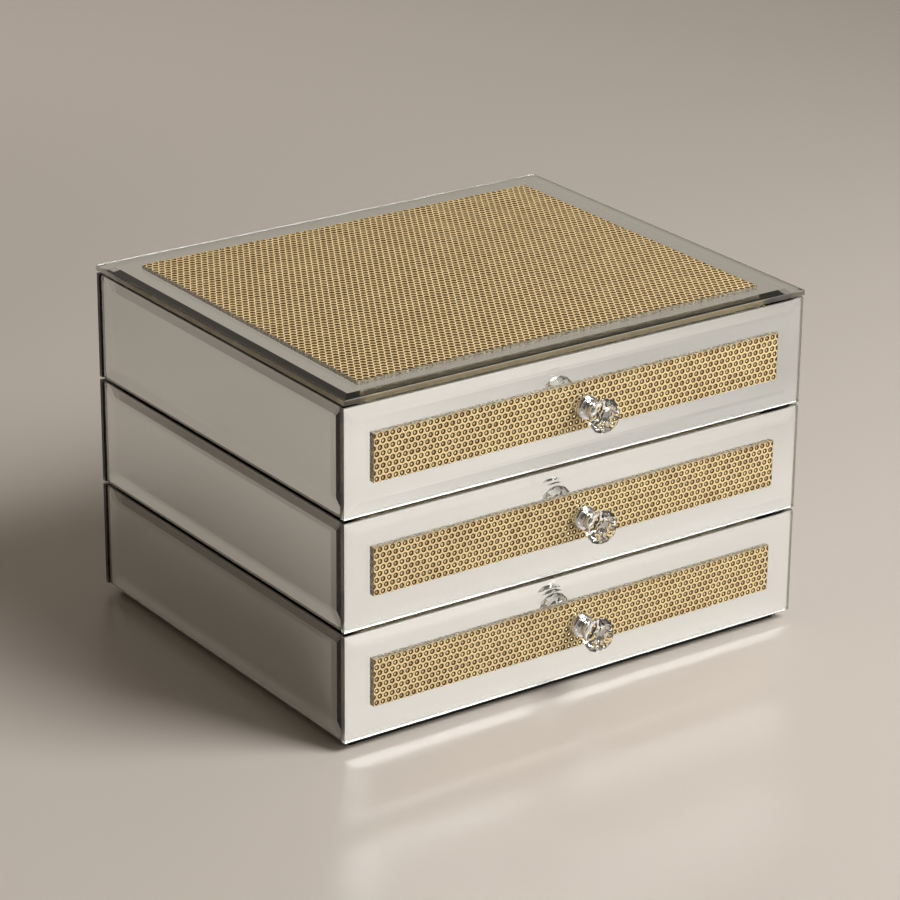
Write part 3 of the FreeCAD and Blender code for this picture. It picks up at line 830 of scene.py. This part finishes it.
class JEWELLERY_OT_knob_bases(bpy.types.Operator):
    """Turns the chromed bases of the knobs"""

    bl_idname = "jewellery.knob_bases"
    bl_label = "Knob bases"

    def execute(self, context):
        settings = context.scene.jewellery_knobs
        waist = settings.neck / 2
        cup = settings.cup / 2
        drum_end = settings.drum_length
        neck_end = drum_end + settings.neck_length
        flare = cup - waist
        for tier in TIERS:
            node = f"{tier}_knob_base"
            (width, _, reach), place = box_frame(node, FRONT)
            dish_floor = reach - settings.dish
            # Radius, level and rounding of each circle
            circles = (
                (width / 2, 0, settings.rounding),
                (settings.drum_front / 2, drum_end, settings.drum_rounding),
                (cup, drum_end, settings.rounding),
                (waist, drum_end + flare, settings.neck_rounding),
                (waist, neck_end - flare, settings.neck_rounding),
                (cup, neck_end, settings.rounding),
                (cup, reach, settings.rounding),
                (settings.foot / 2, reach, 0),
                (settings.foot / 2, dish_floor, 0),
            )
            profile = [(0, 0)] + [circle[:2] for circle in circles] + [(0, dish_floor)]
            work = turned(profile)
            for radius, level, rounding in circles:
                if rounding:
                    round_circle(work, radius, level, rounding)
            base = finished(
                work, f"{node}_turning", [material_of(chrome_plate)], place, SMOOTH_TURNING
            )
            stand_in(base, node)
        return {"FINISHED"}


def grind(work, outward, distance):
    """Grinds one flat facet at a distance from the centre."""
    edges = cut_off(work, outward, distance, FACET_CUT)
    if edges:
        bmesh.ops.contextual_create(work, geom=edges)


class JEWELLERY_OT_knob_crystals(bpy.types.Operator):
    """Cuts the faceted crystals of the knobs"""

    bl_idname = "jewellery.knob_crystals"
    bl_label = "Knob crystals"

    def execute(self, context):
        settings = context.scene.jewellery_knobs
        crown = settings.crown_height
        band = settings.girdle_band / 2
        for tier in TIERS:
            node = f"{tier}_knob_crystal"
            (width, _, reach), place = box_frame(node, FRONT)
            pavilion = reach - crown
            # Lean of each row of facets, half facets that it is turned by, and the radius and
            # height of a circle that it touches
            rows = (
                (0, 0, width / 2, 0),
                (settings.crown_lean, 1, width / 2, band),
                (settings.star_lean, 0, settings.table / 2, crown),
                (-settings.pavilion_lean, 1, width / 2, -band),
                (-settings.foot_lean, 0, settings.foot / 2, -pavilion),
            )
            work = bmesh.new()
            bmesh.ops.create_cube(work, size=2 * width)
            grind(work, UP, crown)
            grind(work, -UP, pavilion)
            for lean, half_turns, radius, height in rows:
                distance = radius * math.cos(lean) + height * math.sin(lean)
                for number in range(settings.facets):
                    bearing = math.tau * (number + half_turns / 2) / settings.facets
                    across = Vector((math.cos(bearing), math.sin(bearing), 0))
                    grind(work, across * math.cos(lean) + UP * math.sin(lean), distance)
            ease(work, work.edges[:], settings.facet_easing, steps=1)
            bmesh.ops.recalc_face_normals(work, faces=work.faces)
            girdle = Matrix.Translation((0, 0, pavilion))
            crystal = finished(work, f"{node}_cut", [material_of(polished_crystal)], place @ girdle)
            stand_in(crystal, node)
        return {"FINISHED"}


class JEWELLERY_OT_knob_screws(bpy.types.Operator):
    """Finishes the screws that hold the knobs"""

    bl_idname = "jewellery.knob_screws"
    bl_label = "Knob screws"

    def execute(self, context):
        coat_nodes([f"{tier}_knob_screw" for tier in TIERS], zinc_plate)
        return {"FINISHED"}


# Boards and lining

CARCASS_BOARDS = (
    "plinth_board", "bottom_board", "top_board", "back_board", "left_side_board",
    "right_side_board", "lower_shelf", "upper_shelf",
)
COVERED_BOARDS = ("front_board", "left_wall", "right_wall", "rear_wall")

# Cells across and along a pad, and the share of its thickness that its edge stands up straight
PAD_CELLS = (58, 48)
PAD_EDGE = 0.35


class JEWELLERY_OT_boards(bpy.types.Operator):
    """Paints the boards of the case and the drawer floors"""

    bl_idname = "jewellery.boards"
    bl_label = "Painted boards"

    def execute(self, context):
        floors = tuple(f"{tier}_drawer_floor" for tier in TIERS)
        coat_nodes(CARCASS_BOARDS + floors, painted_fibreboard)
        return {"FINISHED"}


class JEWELLERY_OT_covered_boards(bpy.types.Operator):
    """Covers the walls of the drawers with velvet"""

    bl_idname = "jewellery.covered_boards"
    bl_label = "Velvet-covered boards"

    def execute(self, context):
        nodes = [f"{tier}_drawer_{board}" for tier in TIERS for board in COVERED_BOARDS]
        coat_nodes(nodes, short_velvet)
        return {"FINISHED"}


class JEWELLERY_OT_velvet_pads(bpy.types.Operator):
    """Makes the crowned velvet pads that lie in the drawers"""

    bl_idname = "jewellery.velvet_pads"
    bl_label = "Velvet pads"

    def execute(self, context):
        settings = context.scene.jewellery_lining
        for tier in TIERS:
            node = f"{tier}_drawer_velvet_pad"
            (width, height, thickness), place = box_frame(node, UP)
            work = bmesh.new()
            bmesh.ops.create_grid(work, x_segments=PAD_CELLS[0], y_segments=PAD_CELLS[1], size=0.5)
            bmesh.ops.scale(work, verts=work.verts, vec=(width, height, 1))
            for vert in work.verts:
                inside = min(width / 2 - abs(vert.co.x), height / 2 - abs(vert.co.y))
                share = min(1.0, max(0.0, inside / settings.pad_edge))
                rounded = math.sqrt(1 - (1 - share) ** 2)
                crown = math.cos(vert.co.x / width * math.pi) * math.cos(vert.co.y / height * math.pi)
                edge_up = PAD_EDGE + (1 - PAD_EDGE) * rounded
                vert.co.z = thickness * edge_up + settings.pad_crown * crown * share
            close_below(work, 0)
            cushion = finished(
                work, f"{node}_cushion", [material_of(short_velvet)], place, SMOOTH_CUSHION
            )
            stand_in(cushion, node)
        return {"FINISHED"}


class JEWELLERY_OT_base_felt(bpy.types.Operator):
    """Makes the felt under the box"""

    bl_idname = "jewellery.base_felt"
    bl_label = "Base felt"

    def execute(self, context):
        settings = context.scene.jewellery_lining
        (width, height, thickness), place = box_frame("base_felt", UP)
        work = bmesh.new()
        add_block(work, width, height, thickness, 0)
        ease(work, work.edges[:], settings.felt_easing, steps=2)
        felt = finished(work, "base_felt_sheet", [material_of(pressed_felt)], place)
        stand_in(felt, "base_felt")
        return {"FINISHED"}


# Stage


def seamless_paper(material):
    """Pale satin paper, lightened far off on the left as painted light and a little darker far off on the
    right as painted shade. Only mirrors and glass see it partly darkened on the right, a painted shade in
    their reflections."""
    settings = bpy.context.scene.jewellery_stage
    place = add_node(material, "ShaderNodeTexCoord").outputs["Object"]

    def reach(bearing, near, far, **options):
        """How far a point lies along a compass bearing, from 0 at the near line to 1 at the far."""
        along = add_node(
            material, "ShaderNodeVectorMath", {0: place, 1: (math.sin(bearing), math.cos(bearing), 0)},
            operation="DOT_PRODUCT",
        )
        return ranged(material, along.outputs["Value"], near, far, **options)

    # Painted light far off on the left and painted shade far off on the right, mixed into the paper's
    # colour
    sideways = reach(settings.side_bearing, -settings.side_reach, settings.side_reach)
    painted_far_light_and_shade = mixed(material, sideways, rgba(settings.far_painted_light_colour), rgba(settings.far_right_painted_shade_colour))
    distance = reach(
        settings.far_bearing, settings.far_start, settings.far_end, interpolation_type="SMOOTHSTEP"
    )
    paper = surface(
        material,
        {
            "Base Color": mixed(material, distance, rgba(settings.floor_colour), painted_far_light_and_shade),
            "Roughness": 0.36, "Specular IOR Level": 0.75,
        },
    )
    # The dark surface below is a painted reflection of shade, seen only by glossy and transmission rays
    table = surface(material, {"Base Color": rgba(settings.reflected_shade_colour), "Roughness": 0.6})
    beyond = reach(settings.reflected_shade_bearing, settings.reflected_shade_start, settings.reflected_shade_end)
    ray = add_node(material, "ShaderNodeLightPath").outputs
    mirrored = calculated(material, "MAXIMUM", ray["Is Glossy Ray"], ray["Is Transmission Ray"])
    reflected_shade_amount = calculated(material, "MULTIPLY", beyond, settings.reflected_shade_share)
    share = calculated(material, "MULTIPLY", reflected_shade_amount, mirrored)
    return add_node(
        material, "ShaderNodeMixShader", {0: share, 1: paper.outputs[0], 2: table.outputs[0]}
    )


def direction(azimuth, elevation):
    """Unit vector to something seen at a compass angle, 0 in front of the box, and a height."""
    return Vector(
        (
            math.sin(azimuth) * math.cos(elevation),
            -math.cos(azimuth) * math.cos(elevation),
            math.sin(elevation),
        )
    )


def add_softbox(name, bearing, distance, width, height, power):
    """Adds a soft lamp that faces the box, out of the camera's sight."""
    lamp = bpy.data.lights.new(name, "AREA")
    lamp.shape = "RECTANGLE"
    lamp.size = width
    lamp.size_y = height
    lamp.energy = power
    holder = bpy.data.objects.new(name, lamp)
    holder.location = bearing * distance
    holder.rotation_mode = "QUATERNION"
    holder.rotation_quaternion = (-bearing).to_track_quat("-Z", "Y")
    holder.visible_camera = False
    bpy.context.scene.collection.objects.link(holder)


def add_surroundings(settings):
    """Adds a dim fill from all round, in which the camera, metal and glass see the pale studio."""
    world = bpy.data.worlds.new("studio")
    world.use_nodes = True
    world.node_tree.nodes.clear()
    ray = add_node(world, "ShaderNodeLightPath").outputs
    seen = ray["Is Camera Ray"]
    for kind in ("Is Glossy Ray", "Is Transmission Ray"):
        seen = calculated(world, "MAXIMUM", seen, ray[kind])
    heading = add_node(world, "ShaderNodeTexCoord").outputs["Generated"]
    parts = add_node(world, "ShaderNodeSeparateXYZ", {"Vector": heading}).outputs
    above = ranged(world, parts["Z"], settings.dim_from, settings.dim_full)
    before = ranged(world, parts["Y"], 0.0, -settings.dim_before)
    dim = calculated(world, "MAXIMUM", above, before)
    studio = mixed(world, dim, rgba(settings.sky_colour), rgba(settings.ceiling_colour))
    shade = mixed(world, seen, rgba(settings.fill_colour), studio)
    sky = add_node(world, "ShaderNodeBackground", {"Color": shade, "Strength": 1.0})
    add_node(world, "ShaderNodeOutputWorld", {"Surface": sky.outputs[0]})
    bpy.context.scene.world = world


class JEWELLERY_OT_stage(bpy.types.Operator):
    """Makes the camera, the lamps, the paper floor and the surroundings"""

    bl_idname = "jewellery.stage"
    bl_label = "Stage"

    def execute(self, context):
        scene = context.scene
        settings = scene.jewellery_stage
        scene.view_settings.view_transform = "Standard"

        camera = bpy.data.objects.new("camera", bpy.data.cameras.new("camera"))
        camera.data.lens = settings.lens
        camera.location = settings.camera_place
        camera.rotation_mode = "QUATERNION"
        level = (-direction(settings.azimuth, settings.elevation)).to_track_quat("-Z", "Y")
        camera.rotation_quaternion = level @ Matrix.Rotation(settings.roll, 3, "Z").to_quaternion()
        scene.collection.objects.link(camera)
        scene.camera = camera

        work = bmesh.new()
        bmesh.ops.create_grid(work, x_segments=1, y_segments=1, size=settings.floor_reach)
        floor = finished(work, "paper_floor", [material_of(seamless_paper)])

        add_surroundings(settings)
        add_softbox(
            "key_softbox", direction(settings.key_azimuth, settings.key_elevation), settings.key_distance,
            settings.key_size, settings.key_size, settings.key_power,
        )
        add_softbox(
            "rim_softbox", direction(settings.rim_azimuth, settings.rim_elevation), settings.rim_distance,
            settings.rim_width, settings.rim_height, settings.rim_power,
        )
        return {"FINISHED"}


OPERATORS = (
    JEWELLERY_OT_wall_mirrors,
    JEWELLERY_OT_top_mirror,
    JEWELLERY_OT_drawer_mirrors,
    JEWELLERY_OT_honeycomb_strips,
    JEWELLERY_OT_honeycomb_field,
    JEWELLERY_OT_knob_bases,
    JEWELLERY_OT_knob_crystals,
    JEWELLERY_OT_knob_screws,
    JEWELLERY_OT_boards,
    JEWELLERY_OT_covered_boards,
    JEWELLERY_OT_velvet_pads,
    JEWELLERY_OT_base_felt,
    JEWELLERY_OT_stage,
)


class JEWELLERY_PT_panel(bpy.types.Panel):
    """Lists the pieces of the jewellery box and their settings"""

    bl_idname = "JEWELLERY_PT_panel"
    bl_label = "Jewellery box"
    bl_space_type = "VIEW_3D"
    bl_region_type = "UI"
    bl_category = "Jewellery box"

    def draw(self, context):
        for operator in OPERATORS:
            self.layout.operator(operator.bl_idname)
        for name, group in SETTINGS.items():
            box = self.layout.box()
            box.label(text=group.__doc__)
            for setting in group.__annotations__:
                box.prop(getattr(context.scene, name), setting)


CLASSES = (*SETTINGS.values(), *OPERATORS, JEWELLERY_PT_panel)


def register():
    for item in CLASSES:
        bpy.utils.register_class(item)
    for name, group in SETTINGS.items():
        setattr(bpy.types.Scene, name, PointerProperty(type=group))


def unregister():
    for name in SETTINGS:
        delattr(bpy.types.Scene, name)
    for item in reversed(CLASSES):
        bpy.utils.unregister_class(item)


def main():
    """Makes every piece in turn."""
    register()
    for operator in OPERATORS:
        group, name = operator.bl_idname.split(".")
        getattr(getattr(bpy.ops, group), name)()


if __name__ == "__main__":
    main()
